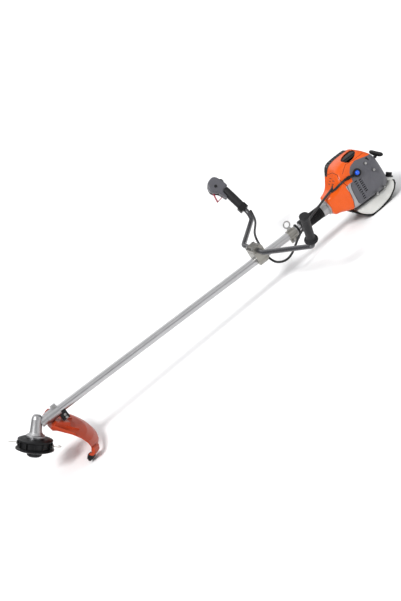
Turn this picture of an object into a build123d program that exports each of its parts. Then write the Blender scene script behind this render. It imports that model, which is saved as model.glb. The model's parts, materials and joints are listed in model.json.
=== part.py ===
"""Petrol brush cutter with a nylon-line head, a two-handed bar handle and a rear engine.

Every piece is drawn in the shaft frame: X runs along the drive tube from the cutting head
towards the engine, Y to the operator's right, Z up, with the origin on the tube's axis under
the handlebar clamp. The finished pieces are then set down on the floor, where the machine
rests on the skid under its fuel tank and on the tip of the guard's line cutter.
"""
import os
from math import atan, degrees, radians, tan

from build123d import *

# ---- driving dimensions, millimetres and degrees ----
TUBE_R = 14.0
TUBE_BORE_R = 12.4
TUBE_FRONT = -895.0
TUBE_REAR = 262.0
ROD_R = 4.0
RUN_FIT = 0.05

HEAD_S = -944.0
HEAD_TILT = 38.8
HEAD_R = 63.5
PINION_TEETH = 15
CROWN_TEETH = 21
KNOB_TRAVEL = 6.0
LINE_R = 1.2

GUARD_R = 206.0
GUARD_ROLL = 8.0
GUARD_NEAR = -41.0
GUARD_FAR = 64.0

BAR_R = 8.5
GRIP_R = 15.5
BAR_S = -8.0
BAR_W = 33.0
LEFT_ELBOW = (84.0, -297.0, 29.0)
LEFT_TOP = (86.0, -380.0, 158.0)
RIGHT_ELBOW = (120.0, 284.0, 38.0)
RIGHT_TOP = (102.0, 354.0, 165.0)
CABLE_R = 4.0

ENGINE_FRONT = 280.0
SHELL = 2.6
TRIGGER_PIVOT_X = 35.0
TRIGGER_PIVOT_Z = 170.0

SKID_FRONT_S = 390.0
SKID_REAR_S = 432.0
SKID_DEPTH = 105.0


# ---- general helpers ----
def rod(radius, start, end, u=0.0, w=0.0):
    """Round bar parallel to the shaft from station start to station end."""
    turned = Rot(0, 90, 0) * Cylinder(radius, end - start)
    return Pos((start + end) / 2, u, w) * turned


def sleeve(outer, inner, start, end, u=0.0, w=0.0):
    """Round tube parallel to the shaft."""
    return rod(outer, start, end, u, w) - rod(inner, start - 1, end + 1, u, w)


def block(low, high):
    """Box between two opposite corners."""
    size = [abs(b - a) for a, b in zip(low, high)]
    middle = [(a + b) / 2 for a, b in zip(low, high)]
    return Pos(*middle) * Box(*size)


def peg(radius, base, direction, length):
    """Cylinder that starts at base and runs along direction."""
    spot = Plane(origin=base, z_dir=direction)
    return spot.location * Cylinder(radius, length, align=(Align.CENTER, Align.CENTER, Align.MIN))


def lathe(points, arc=360.0):
    """Solid turned about Z from a profile of (radius, height) points."""
    profile = make_face(Plane.XZ * Polyline(*points, close=True))
    return revolve(profile, Axis.Z, arc)


def side_prism(points, low_u, high_u, inset=0.0):
    """Prism with an outline in the shaft's upright plane, between two lateral stations."""
    outline = make_face(Polyline(*points, close=True))
    if inset:
        outline = offset(outline, amount=-inset, kind=Kind.INTERSECTION)
    middle = (low_u + high_u) / 2
    return extrude(Pos(0, middle, 0) * (Plane.XZ * outline), (high_u - low_u) / 2, both=True)


def hex_screw(base, direction, shank_r, shank, head_r, head_h):
    """Screw with a six-sided socket head: base is under the head, the shank runs forwards."""
    spot = Plane(origin=base, z_dir=direction)
    up = (Align.CENTER, Align.CENTER, Align.MIN)
    down = (Align.CENTER, Align.CENTER, Align.MAX)
    body = Cylinder(shank_r, shank, align=up) + Cylinder(head_r, head_h, align=down)
    key = extrude(RegularPolygon(head_r * 0.5, 6), head_h * 0.6)
    return spot.location * (body - Pos(0, 0, -head_h - 0.01) * key)


HEAD = Pos(HEAD_S, 0, 0) * Rot(0, HEAD_TILT, 0)
GUARD = HEAD * Rot(GUARD_ROLL, 0, 0)


def grip_frame(elbow, top):
    """Frame on a grip: Z up the grip, X to the front of the machine."""
    up = Vector(*top) - Vector(*elbow)
    up = up.normalized()
    front = Vector(-1, 0, 0)
    front = (front - up * front.dot(up)).normalized()
    return Plane(origin=elbow, x_dir=front, z_dir=up).location


LEFT = grip_frame(LEFT_ELBOW, LEFT_TOP)
RIGHT = grip_frame(RIGHT_ELBOW, RIGHT_TOP)


# ---- drive line inside the tube ----
def shaft_tube():
    return sleeve(TUBE_R, TUBE_BORE_R, TUBE_FRONT, TUBE_REAR)


def shaft_bushes():
    bushes = []
    for station in (-760.0, -520.0, -280.0, -40.0, 200.0):
        bushes.append(sleeve(TUBE_BORE_R, ROD_R + RUN_FIT, station - 12, station + 12))
    return Compound(children=bushes)


def drive_shaft():
    return rod(ROD_R, HEAD_S + 26, 303)


def clutch_drum():
    cup = sleeve(25.5, 23, 303, 323)
    floor_disc = sleeve(25.5, ROD_R + 3, 300, 303)
    hub = rod(ROD_R + 3, 296, 303)
    return cup + floor_disc + hub - rod(ROD_R, 290, 303)


def bevel_gear(large_r, cone_angle, teeth, bore, far, near):
    """Bevel gear about Z with its apex at the origin, between two heights."""
    slope = tan(radians(cone_angle))
    root = lathe([(bore, near), (near * slope, near), (large_r, far), (large_r, far + 3),
                  (bore, far + 3)])
    tooth = lathe([(near * slope - 0.4, near), (near * slope + 0.4, near), (large_r + 0.8, far),
                   (large_r - 0.4, far)], 180.0 / teeth)
    for number in range(teeth):
        root += Rot(0, 0, number * 360.0 / teeth) * tooth
    return root


def pinion_gear():
    gear = bevel_gear(7.0, 18.5, PINION_TEETH, 2.5, 21, 15)
    journal = Pos(0, 0, 34.6) * Cylinder(6.0, 21.2) - Pos(0, 0, 38) * Cylinder(ROD_R, 24)
    whole = gear + Pos(0, 0, 24.5) * Cylinder(6.0, 2) + journal
    return Pos(HEAD_S, 0, 0) * Rot(0, 90, 0) * whole


# ---- gear head ----
def gear_case():
    body = lathe([(0, 38), (12, 38), (14.5, 35), (17.5, 25), (18.5, 6), (20.5, -18), (25, -26),
                  (31, -28.5), (31, -33), (0, -33)])
    cavity = lathe([(0, 34.5), (11.5, 34.5), (15.2, 24), (15.2, -24), (14, -24), (14, -34), (0, -34)])
    socket = rod(19.5, -900, -852) + rod(16.5, -926, -899) - rod(TUBE_R + 0.02, TUBE_FRONT, -850)
    boss = block((-872, -8, 12), (-853, 8, 25)) - rod(TUBE_R + 0.02, -890, -850)
    slit = block((-882, -1.2, 10), (-850, 1.2, 30))
    tunnel = rod(9.0, -936, -894)
    inner = rod(TUBE_BORE_R, -901, -890)
    case = HEAD * body + socket + boss - HEAD * cavity - tunnel - inner - slit
    case -= peg(2.55, (-862, -12, 20), (0, 1, 0), 24)
    case -= peg(4.6, (-862, -16, 20), (0, 1, 0), 8)
    return case


def case_bearings():
    upper = Pos(0, 0, 31.4) * (Cylinder(11.2, 6) - Cylinder(5 + RUN_FIT, 7))
    lower = Pos(0, 0, -26) * (Cylinder(13.9, 9) - Cylinder(6 + RUN_FIT, 10))
    pinion_seat = sleeve(8.95, 6 + RUN_FIT, -912, -900)
    return Compound(children=[HEAD * upper, HEAD * lower, pinion_seat])


def crown_gear():
    gear = bevel_gear(10.6, 28.0, CROWN_TEETH, 5.0, 20.4, 14.5)
    return HEAD * gear


def output_spindle():
    """Spindle with the drive flange that the line head screws on to."""
    shank = lathe([(0, 34.2), (5, 34.2), (5, -20), (6, -20), (6, -35), (27, -35), (27, -37.4), (5, -38),
                   (5, -56), (0, -56)])
    return HEAD * shank


def trimmer_housing():
    """Upper disc, drum and lower flange of the line head."""
    outline = lathe([(5.05, -38.2), (44, -38.2), (51, -39.5), (58, -42.5), (58, -46), (54, -49.5),
                     (51, -50), (51, -67.5), (56, -69), (HEAD_R, -72.5), (HEAD_R, -75.5), (58, -78),
                     (44, -81.5), (33, -83),
                     (30, -83), (30, -72), (46, -72), (46, -43.5), (9, -43.5), (9, -56), (5.05, -56)])
    ribs = Part()
    for number in range(12):
        rib = block((50.5, -1.2, -50.5), (58, 1.2, -67.8))
        ribs += Rot(0, 0, 15 + number * 30) * rib
    holes = Part()
    for angle in (150, 330):
        holes += Rot(0, 0, angle) * (Pos(50, 0, -59) * Rot(0, 90, 0) * Cylinder(4.52, 24))
    return HEAD * (outline + ribs - holes)


def line_spool():
    core = lathe([(9.5, -50.5), (44, -50.5), (44, -53), (24, -53.5), (24, -66.5), (44, -67), (44, -69.8),
                  (9.5, -69.8)])
    wound = lathe([(24.1, -54), (36, -54), (36, -66), (24.1, -66)])
    return HEAD * (core + wound)


def spool_spring():
    return HEAD * (Pos(0, 0, -63.5) * (Cylinder(8.6, 12.8) - Cylinder(7.0, 14)))


def bump_knob():
    skin = lathe([(0, -70.2), (29, -70.2), (29, -73.5), (26.5, -83), (26, -88), (24, -96), (19, -100),
                  (0, -100)])
    flutes = Part()
    for number in range(8):
        flutes += Rot(0, 0, number * 45) * (Pos(30, 0, -92) * Cylinder(6, 18))
    return HEAD * (skin - flutes)


def line_eyelets():
    pair = []
    for angle in (150, 330):
        barrel = Pos(54, 0, -59) * Rot(0, 90, 0) * (Cylinder(4.5, 12) - Cylinder(2.2, 14))
        lip = Pos(61, 0, -59) * Rot(0, 90, 0) * (Cylinder(6.5, 2) - Cylinder(2.2, 4))
        pair.append(HEAD * Rot(0, 0, angle) * (barrel + lip))
    return Compound(children=pair)


def cutting_line():
    """Two ends of nylon line: a short straight one and one that curls back on itself."""
    short = JernArc(start=(50, 0, -59), tangent=(1, 0, 0), radius=70, arc_size=32)
    curl = Line((50, 0), (76, 0)) + JernArc(start=(76, 0), tangent=(1, 0), radius=9, arc_size=195)
    ends = []
    straight = sweep(Plane.YZ.offset(50) * Pos(0, -59) * Circle(LINE_R), path=short)
    ends.append(HEAD * Rot(0, 0, 150) * straight)
    loop = sweep(Plane.YZ.offset(50) * Circle(LINE_R), path=curl)
    ends.append(HEAD * Rot(0, 0, 330) * Pos(0, 0, -59) * loop)
    return Compound(children=ends)


# ---- guard ----
BRACKET_SCREWS = (-19.5, -31)


def guard_bracket():
    """Saddle under the tube that carries the guard."""
    bracket = block((-862, -16, -37), (-836, 16, -6)) - rod(TUBE_R + 0.02, -870, -830)
    bracket -= rod(19.8, -870, -851.7)
    for w in BRACKET_SCREWS:
        bracket -= peg(2.52, (-847, -20, w), (0, 1, 0), 20)
    return bracket


def guard_shell():
    profile = [(52, 7), (130, 9), (165, 5), (188, -3), (202, -14), (GUARD_R, -22), (GUARD_R, -30),
               (GUARD_R - 3.2, -30), (GUARD_R - 3.2, -23), (200, -16), (187, -6), (164, 2), (130, 6),
               (52, 4)]
    shell = Rot(0, 0, GUARD_NEAR) * lathe(profile, GUARD_FAR - GUARD_NEAR)
    rib_profile = [(52, 8), (60, 19), (140, 12), (140, 8)]
    ribs = Part()
    for angle in (-40, -20, 20, 40):
        ribs += Rot(0, 0, angle) * lathe(rib_profile, 1.2)
    return GUARD * (shell + ribs)


def guard():
    hub = HEAD * side_prism([(46, -6), (46, 7), (60, 22), (104, 22), (104, -6)], -34, 34)
    hollow = HEAD * side_prism([(50, -7), (50, 4), (62, 18), (100, 18), (100, -7)], -30, 30)
    body = guard_shell() - HEAD * side_prism([(46, -20), (46, 30), (104, 30), (104, -20)], -34, 34)
    body += hub - hollow
    body -= rod(20, -900, -800)
    body -= block((-864, -25, -39), (-833, 18, 0))
    return body


def tail_place():
    """Place of the tail on the guard's rim, with X outwards and Y along the rim."""
    return GUARD * Rot(0, 0, GUARD_NEAR + 5.7)


def guard_extension():
    outer = [(GUARD_R + 0.3, -16), (GUARD_R + 7, -18), (GUARD_R + 11, -32), (GUARD_R + 7, -44),
             (GUARD_R + 1, -46), (GUARD_R - 10, -46), (GUARD_R - 10, -42), (GUARD_R - 1, -38),
             (GUARD_R + 0.3, -34)]
    return tail_place() * Rot(0, 0, -5.6) * lathe(outer, 11.2)


def cutter_holder():
    body = side_prism([(GUARD_R - 16, -46.2), (GUARD_R + 2, -46.2), (GUARD_R + 2, -58),
                       (GUARD_R - 3, -67), (GUARD_R - 9, -68), (GUARD_R - 16, -62)], -16, 12)
    slot = block((GUARD_R - 18, -17.5, -64), (GUARD_R - 12.4, 10, -47))
    return tail_place() * (body - slot)


def line_cutter():
    blade = block((GUARD_R - 15, -20, -61), (GUARD_R - 12.8, 9, -48))
    return tail_place() * blade


TIP = min(cutter_holder().vertices(), key=lambda corner: corner.Z)
FLOOR_SLOPE = (-TIP.Z - SKID_DEPTH) / (SKID_FRONT_S - TIP.X)


def floor_w(s):
    """Height of the floor in the shaft frame at station s."""
    return (s - SKID_FRONT_S) * FLOOR_SLOPE - SKID_DEPTH


# ---- handlebar and its clamp ----
def handlebar():
    corners = [LEFT_TOP, LEFT_ELBOW, (BAR_S, -72, BAR_W), (BAR_S, 107, BAR_W), RIGHT_ELBOW, RIGHT_TOP]
    path = FilletPolyline(*corners, radius=[21, 40, 45, 48])
    section = Plane(origin=path @ 0, z_dir=path % 0) * (Circle(BAR_R) - Circle(BAR_R - 1.5))
    return sweep(section, path=path)


CLAMP_HALF = 32.0
CLAMP_BOLTS = [(-20.2, -23), (-20.2, 23), (4.2, -23), (4.2, 23)]
BOLT_SEAT = 45.0
CLAMP_SIDE = [(-24, -18.5), (-28, -6), (-28, 43), (-22, 50), (6, 50), (12, 43), (12, -6), (8, -18.5)]
CLAMP_CROSS = [(-32, 50), (-32, 0.4), (-29, 0), (-29, -7), (-17, -18.6), (17, -18.6), (29, -7), (29, 0),
               (32, 0.4), (32, 50)]


def clamp_part(low, high):
    """Slice of the clamp block between two heights, bored for the tube and for the bar."""
    solid = side_prism(CLAMP_SIDE, -CLAMP_HALF, CLAMP_HALF)
    cross = make_face(Polyline(*CLAMP_CROSS, close=True))
    solid &= extrude(Plane.YZ * cross, 60, both=True)
    solid &= block((-50, -50, low), (50, 50, high))
    solid -= rod(TUBE_R + 0.02, -60, 60)
    solid -= peg(BAR_R + 0.02, (BAR_S, -60, BAR_W), (0, 1, 0), 120)
    for s, u in CLAMP_BOLTS:
        solid -= peg(3.1, (s, u, -40), (0, 0, 1), 120)
        solid -= peg(5.5, (s, u, BOLT_SEAT), (0, 0, 1), 20)
    return solid


def clamp_lower():
    return clamp_part(-20, -0.6)


def clamp_body():
    return clamp_part(0.6, BAR_W - 0.6)


def clamp_cap():
    cap = clamp_part(BAR_W + 0.6, 52)
    for number in range(3):
        start = -15.5 + number * 6
        cap -= block((start, -42, 48.6), (start + 3, 42, 54))
    return cap


def clamp_bolts():
    bolts = []
    for s, u in CLAMP_BOLTS:
        bolts.append(hex_screw((s, u, BOLT_SEAT + 0.05), (0, 0, -1), 3.0, 52, 5.2, 5.5))
    return Compound(children=bolts)


def left_grip():
    skin = lathe([(BAR_R + 0.05, 32), (22.5, 32), (23, 34), (22, 37), (16, 38), (14.5, 43), (14.5, 140),
                  (16.5, 143), (17, 152), (12, 157), (0, 157.5), (0, 154), (BAR_R + 0.05, 154)])
    return LEFT * skin


def right_grip():
    skin = lathe([(BAR_R + 0.05, 58), (GRIP_R - 0.5, 58), (GRIP_R, 100), (GRIP_R - 0.5, 139),
                  (BAR_R + 0.05, 139)])
    pocket = block((9.5, -3.4, 108), (32, 3.4, 134))
    lobe_seat = side_prism([(12.3, 109.8), (32, 109.8), (32, 141), (12.3, 141)], -20, 20)
    return RIGHT * (skin - pocket - lobe_seat)


def grip_collar():
    outline = make_face(Polyline((-15, -16), (19, -12), (19, 12), (-15, 16), close=True))
    body = Pos(0, 0, 38) * extrude(fillet(outline.vertices(), 5), 19.5)
    body -= Pos(0, 0, 46) * Cylinder(BAR_R + 0.05, 40)
    return RIGHT * body


THROTTLE_SIDE = [(-16.5, 139.5), (-16, 156), (-14, 172), (-8, 194), (4, 203), (28, 199), (42, 184),
                 (46, 166), (41, 154), (30, 147), (24, 128), (21.5, 112), (12.5, 110), (12.5, 139.5)]


def throttle_shell(low, high):
    """One half of the control housing, a hollow moulding with its trigger opening."""
    outer = side_prism(THROTTLE_SIDE, low, high)
    low_inner = low + SHELL if low < -1 else low - 1
    high_inner = high - SHELL if high > 1 else high + 1
    inner = side_prism(THROTTLE_SIDE, low_inner, high_inner, inset=SHELL)
    shell = outer - inner
    shell -= Pos(0, 0, 150) * Cylinder(BAR_R + 0.05, 40)
    shell -= block((9, -3.6, 106), (32, 3.6, 136))
    shell -= block((24, -6.6, 140), (60, 6.6, 170))
    shell -= block((-30, -5.3, 158.5), (-8, 5.3, 181.5))
    shell -= peg(1.99, (TRIGGER_PIVOT_X, -30, TRIGGER_PIVOT_Z), (0, 1, 0), 60)
    return shell


def throttle_shell_left():
    shell = throttle_shell(0.05, 19)
    return RIGHT * (shell - peg(5.3, (18, 10, 168), (0, 1, 0), 20))


def throttle_shell_right():
    return RIGHT * throttle_shell(-19, -0.05)


def trigger_pin():
    return RIGHT * peg(1.97, (TRIGGER_PIVOT_X, -18, TRIGGER_PIVOT_Z), (0, 1, 0), 36)


def throttle_trigger():
    """Bent lever: a wide finger blade with a thin return link behind it."""
    hub = peg(4.6, (TRIGGER_PIVOT_X, -5, TRIGGER_PIVOT_Z), (0, 1, 0), 10)
    blade = side_prism([(33, 168), (38, 169), (41, 158), (46, 145), (52, 126), (50.5, 123.5), (48, 124.5),
                        (42.5, 142), (37, 155)], -5, 5)
    link = side_prism([(50.5, 123.5), (26, 125), (26, 127.5), (50, 126.5)], -1.3, 1.3)
    bore = peg(1.97 + RUN_FIT, (TRIGGER_PIVOT_X, -8, TRIGGER_PIVOT_Z), (0, 1, 0), 16)
    return RIGHT * (hub + blade + link - bore)


def trigger_lockout():
    button = side_prism([(-9, 160), (-16.5, 160), (-20.5, 166), (-20, 175), (-16.5, 179), (-9, 179)],
                        -5, 5)
    return RIGHT * button


def stop_switch():
    return RIGHT * (peg(5.0, (18, 13, 168), (0, 1, 0), 8.5))


# ---- harness clamp ----
RING_W = 36.0


def harness_band():
    band = sleeve(16.6, TUBE_R + 0.02, 114, 146)
    ears = block((114, -3.8, -30), (146, 3.8, -14)) - block((110, -1.4, -31), (150, 1.4, -12))
    lug = block((122, -5, 13), (138, 5, RING_W - 17.3))
    band = band + ears + lug - rod(TUBE_R + 0.02, 100, 160)
    band -= block((110, -1.4, -20), (150, 1.4, -12))
    for station in (122, 138):
        band -= peg(2.55, (station, -10, -24), (0, 1, 0), 20)
    return band


def harness_ring():
    ring = Torus(11.5, 2.3)
    foot = block((-6, -4, -17), (6, 4, -11.8))
    whole = Rot(90, 0, 0) * ring + foot
    return Pos(130, 0, RING_W) * whole


COVER_SCREWS = ((430, -94, -36), (464, -94, -34), (462, -94, 40))


def m5_screws():
    """Socket screws of the case socket, the harness band, the guard bracket and the rear cover."""
    screws = [hex_screw((-862, -8.1, 20), (0, 1, 0), 2.5, 15.5, 4.2, 5)]
    for station in (122, 138):
        screws.append(hex_screw((station, -4.0, -24), (0, 1, 0), 2.5, 12, 4.2, 5))
    for w in BRACKET_SCREWS:
        screws.append(hex_screw((-847, -16.1, w), (0, 1, 0), 2.5, 14, 4.2, 5))
    for s, u, w in COVER_SCREWS:
        screws.append(hex_screw((s, u - 0.1, w), (0, 1, 0), 2.5, 12, 4.2, 5))
    return Compound(children=screws)


def cable_strap():
    band = sleeve(16.4, TUBE_R + 0.05, 150, 157)
    return band + block((150, -6, 15), (157, 6, 19))


# ---- engine ----
ENGINE_SIDE = [(ENGINE_FRONT, -33), (ENGINE_FRONT, 33), (300, 38), (318, 48), (336, 74), (352, 99),
               (370, 113), (400, 120), (455, 120), (474, 104), (492, 80), (506, 52), (509, 14), (492, -32),
               (474, -48), (350, -48), (313, -36)]
ENGINE_CROSS = [(-93, -52), (-93, 52), (-58, 108), (-30, 124), (20, 124), (60, 98), (60, -52)]
ENGINE_PLAN = [(ENGINE_FRONT - 2, -31), (306, -42), (340, -84), (372, -94), (470, -93), (492, -82),
               (507, -50), (510, -20), (510, 40), (495, 62), (468, 66), (380, 66), (354, 46), (338, 38),
               (306, 33), (ENGINE_FRONT - 2, 31)]
COWL_ZONE = [(250, -140), (338, -140), (340, -42), (348, -10), (352, 20), (350, 46), (380, 48), (388, 76),
             (405, 90), (430, 96), (486, 83), (530, 72), (530, 200), (250, 200)]
HOUSING_ZONE = [(338, -140), (340, -42), (348, -10), (352, 20), (350, 46), (380, 48), (369, 4),
                (375, -47), (375, -140)]


def engine_hull(inset):
    """Outer form of the engine covers, or the same form drawn in by an inset."""
    side = side_prism(ENGINE_SIDE, -130, 130, inset)
    cross_face = make_face(Polyline(*ENGINE_CROSS, close=True))
    cross_face = fillet(cross_face.vertices(), 14)
    plan_face = make_face(Polyline(*ENGINE_PLAN, close=True))
    if inset:
        cross_face = offset(cross_face, amount=-inset, kind=Kind.INTERSECTION)
        plan_face = offset(plan_face, amount=-inset, kind=Kind.INTERSECTION)
    cross = extrude(Plane.YZ.offset(400) * cross_face, 160, both=True)
    plan = extrude(plan_face, 150, both=True)
    return side & cross & plan


def engine_skin():
    return engine_hull(0) - engine_hull(SHELL)


def exhaust_port(radius):
    """Bore from the cylinder to the muffler outside the covers."""
    return peg(radius, (382, 34.3, 50), (0, 1, 0), 30)


def front_cowl(skin):
    cowl = skin & side_prism(COWL_ZONE, -120, 120)
    cowl -= rod(29, 270, 290)
    window = block((400, -62, 100), (448, -18, 140))
    cowl -= window
    for number in range(5):
        cowl -= block((348 + number * 11, 18, 90), (353 + number * 11, 44, 140))
    cable_gate = block((294, -48, 26), (338, -24, 70))
    return cowl - cable_gate - exhaust_port(8.6)


def starter_cover(skin):
    cover = skin - side_prism(COWL_ZONE, -120, 120) - side_prism(HOUSING_ZONE, -120, 120)
    for number in range(7):
        cover -= block((400, -100, 36 - number * 7.4), (411, -84, 39.6 - number * 7.4))
    for number in range(10):
        cover -= block((383, -100, 40 - number * 8.4), (394, -84, 43.6 - number * 8.4))
    cover -= peg(9.0, (407, -100, 66), (0, 1, 0), 20)
    for s, u, w in COVER_SCREWS:
        cover -= peg(2.6, (s, u - 2, w), (0, 1, 0), 20)
    post = rod(5, 452, 500)
    rear = rod(12, 484, 514)
    cover = cover + post + (rear & engine_hull(1)) - exhaust_port(8.6)
    return cover - peg(6.5, STARTER_EXIT - STARTER_AXIS * 22, STARTER_AXIS, 40)


STARTER_AXIS = Vector(0.78, 0, 0.626).normalized()
STARTER_EXIT = Vector(503, -40, 50)


def crankcase(skin):
    """Die-cast middle of the engine, with the rim that shows between the two covers."""
    rim = skin & side_prism(HOUSING_ZONE, -120, 120)
    web = engine_hull(0) & side_prism([(353, -47.5), (353, 45.5), (359, 45.5), (359, -47.5)], -120, 120)
    case = block((338, -32, -36), (392, 32, 33))
    whole = rim + web + case
    whole -= rod(28, 342, 386)
    whole -= rod(10 + RUN_FIT, 330, 400)
    whole -= block((350, -19, 20), (378, 19, 60))
    whole -= block((334, -37, 33.2), (394, 37, 60)) + exhaust_port(8.6)
    whole -= block((350, -89, 14), (384, -35, 60))
    return whole


def cylinder():
    barrel = peg(23, (368, 0, 33.3), (0, 0, 1), 48)
    fins = Part()
    for number in range(7):
        fins += block((346, -34, 37 + number * 6.5), (392, 34, 39.3 + number * 6.5))
    whole = barrel + fins - peg(18.0, (368, 0, 33), (0, 0, 1), 43)
    return whole - peg(5.0, (368, 0, 70), (0, 0, 1), 20)


def piston():
    crown = peg(17.95, (368, 0, 48), (0, 0, 1), 24) - peg(15, (368, 0, 47), (0, 0, 1), 22)
    pin = peg(4, (368, -15.2, 58), (0, 1, 0), 30.4)
    link = block((360, -5, 24), (369, 5, 58))
    return crown + pin + link


def spark_plug():
    body = peg(4.95, (368, 0, 74), (0, 0, 1), 8) + peg(8, (368, 0, 81.5), (0, 0, 1), 6)
    cap = peg(6.5, (368, 0, 87), (0, 0, 1), 12)
    return body + cap


def crankshaft():
    shaft = rod(6, 306, 446)
    main = rod(10, 336, 391)
    webs = rod(26, 346, 358) + rod(26, 371, 383)
    whole = shaft + main + webs - rod(30, 358, 371)
    return whole + rod(5, 357, 372, 0, 14)


def clutch_shoes():
    ring = sleeve(21.6, 13, 307, 321)
    split = block((300, -30, -2), (330, 30, 2))
    hub = sleeve(12, 6, 306, 323)
    arms = block((311, -3, -14), (317, 3, 14)) - rod(8, 300, 330)
    return ring - split + hub + arms


def flywheel():
    wheel = sleeve(20, 6, 394, 412) + sleeve(44, 19, 397, 401)
    for number in range(16):
        blade = block((400.5, -1, 24), (412, 1, 43.5))
        wheel += blade.rotate(Axis.X, number * 22.5)
    return wheel


def clutch_housing():
    nose = sleeve(23, TUBE_R + 0.02, 258, 280)
    step = sleeve(28.5, 10, 280, 285)
    bell = sleeve(28.5, 26.5, 285, 337)
    flange = sleeve(31, 26.5, 331, 337)
    return nose + step + bell + flange - rod(TUBE_R + 0.02, 250, 262)


def av_sleeve():
    body = sleeve(19, TUBE_R + 0.03, 160, 257)
    ribs = Part()
    for number in range(14):
        rib = block((166, -1.9, 18), (254, 1.9, 21))
        ribs += rib.rotate(Axis.X, number * 360 / 14)
    collar = sleeve(21.5, TUBE_R + 0.03, 160, 166)
    return body + ribs + collar


def muffler():
    shell = block((380, 62.6, 8), (456, 82, 66)) - block((381.5, 64, 9.5), (454.5, 80.5, 64.5))
    duct = exhaust_port(7) - exhaust_port(5)
    outlet = peg(6, (462, 74, 20), (-1, 0, 0), 7)
    return shell + duct + outlet


def muffler_cover():
    outline = [(370, 2), (370, 56), (384, 84), (404, 99), (444, 100), (466, 86), (474, 52), (468, 2)]
    outer = side_prism(outline, 50, 88)
    inner = side_prism(outline, 40, 88 - SHELL, inset=SHELL)
    cover = outer - inner - engine_hull(-0.4)
    for number in range(6):
        cover -= block((388 + number * 12, 84, 24), (394 + number * 12, 94, 70))
    return cover


def carburettor():
    body = block((352, -78, 22), (382, -46, 52))
    throat = peg(9, (367, -46.5, 37), (0, 1, 0), 10)
    air_horn = peg(11, (367, -86, 37), (0, 1, 0), 8.5)
    bowl = block((356, -74, 16), (378, -50, 22.5))
    return body + throat + air_horn + bowl - peg(6, (367, -90, 37), (0, 1, 0), 54)


def recoil_pulley():
    bore = 5 + RUN_FIT
    return sleeve(30, bore, 452.5, 455) + sleeve(26, bore, 454, 462) + sleeve(30, bore, 461, 464)


def starter_frame():
    """Frame of the pull handle, Z along the rope and X along the handle's bar."""
    return Plane(origin=STARTER_EXIT, x_dir=(0.45, -0.60, -0.62), z_dir=STARTER_AXIS).location


def starter_handle():
    """Rounded bar with a short stem that the rope passes through."""
    bar = Pos(0, 0, 18.6) * Rot(0, 90, 0) * Cylinder(7.2, 44)
    ends = Pos(22, 0, 18.6) * Sphere(7.2) + Pos(-22, 0, 18.6) * Sphere(7.2)
    stem = lathe([(0, 4), (5.5, 4), (6, 8), (8, 16), (0, 16)])
    return starter_frame() * (bar + ends + stem - Cylinder(1.8, 12))


def starter_rope():
    return starter_frame() * (Pos(0, 0, -4) * Cylinder(1.75, 20))


TANK_SIDE = [(349, -50.5), (472, -50.5), (494, -39), (501, -28), (516, -44), (512.5, -58), (500, -72),
             (472, -88), (430, -97), (394, -99), (376, -89), (354, -68)]
CAP_AXIS = Vector(0.61, 0, 0.79).normalized()
NECK_BASE = Vector(503, -48, -41)


def neck_peg(radius, start, length):
    """Cylinder on the filler neck's axis."""
    base = NECK_BASE + CAP_AXIS * start
    return peg(radius, base, CAP_AXIS, length)


def fuel_tank():
    wide = side_prism(TANK_SIDE, -68, 60)
    hollow = side_prism(TANK_SIDE, -65, 57, inset=3.0)
    lift = block((489, -21, -66), (560, 80, 10))
    upper = block((486, -24, -69), (560, 80, 10))
    tank = (wide - lift) - (hollow - upper)
    neck = neck_peg(14, 2, 12)
    return tank + neck - neck_peg(10.5, -8, 30)


def fuel_cap():
    plug = neck_peg(10.4, 6, 9.5)
    flange = neck_peg(15.5, 15, 4)
    knob = neck_peg(10.5, 18.5, 11.5)
    cuts = Part()
    for number in range(10):
        cut = Pos(12.4, 0, 25) * Cylinder(2.6, 12)
        cuts += Rot(0, 0, number * 36) * cut
    place = Plane(origin=NECK_BASE, z_dir=CAP_AXIS).location
    return plug + flange + knob - place * cuts


def tank_skid():
    """Bent guard strip under the tank, flat where it stands on the floor."""
    return side_prism([(330, -47), (350, -70), (376, -94.5), (SKID_FRONT_S, floor_w(SKID_FRONT_S)),
                       (SKID_REAR_S, floor_w(SKID_REAR_S)), (475, -93), (505, -75.5), (519, -59),
                       (521, -46), (518, -46), (516, -58.5), (503.5, -73), (473.5, -90), (432, -99.2),
                       (393, -101.5), (377.5, -91.5), (352.5, -68.3), (333, -47)], -60, 58)


def primer_bulb():
    dome = Sphere(8.2) & block((-9, -9, -9), (9, 0, 9))
    return peg(8.6, (407, -90.5, 66), (0, -1, 0), 3) + Pos(407, -93.5, 66) * dome


# ---- throttle cable ----
CABLE_ROUTE = [
    (120, 262, 68), (114, 244, 53), (101, 206, 47), (80, 160, 48), (57, 112, 53), (37, 68, 56),
    (24, 37, 46), (20, 25, 20), (19, 22, -7), (20, 5, -28), (24, -17, -40), (36, -34, -46), (54, -43, -49),
    (75, -44, -45), (97, -40, -35), (118, -34, -23), (139, -29, -12), (160, -26, -4), (185, -26, 6),
    (212, -26, 16), (240, -28, 26), (266, -31, 35), (292, -33, 44), (314, -35, 51), (332, -37, 58),
]


def corner_radii(points):
    """Arc radius at each corner of the route, as large as its two runs allow."""
    radii = []
    for before, corner, after in zip(points, points[1:], points[2:]):
        one = Vector(*corner) - Vector(*before)
        two = Vector(*after) - Vector(*corner)
        shorter = min(one.length, two.length)
        radii.append(0.45 * shorter / tan(radians(one.get_angle(two) / 2)))
    return radii


def throttle_cable():
    radii = corner_radii(CABLE_ROUTE)
    path = FilletPolyline(*CABLE_ROUTE, radius=radii)
    section = Plane(origin=path @ 0, z_dir=path % 0) * Circle(CABLE_R)
    tube = sweep(section, path=path)
    print("cable radii", [round(radius, 1) for radius in radii])
    ratio = tube.volume / (section.area * path.length)
    print("cable length", round(path.length, 1), "volume ratio", round(ratio, 4))
    return tube


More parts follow.
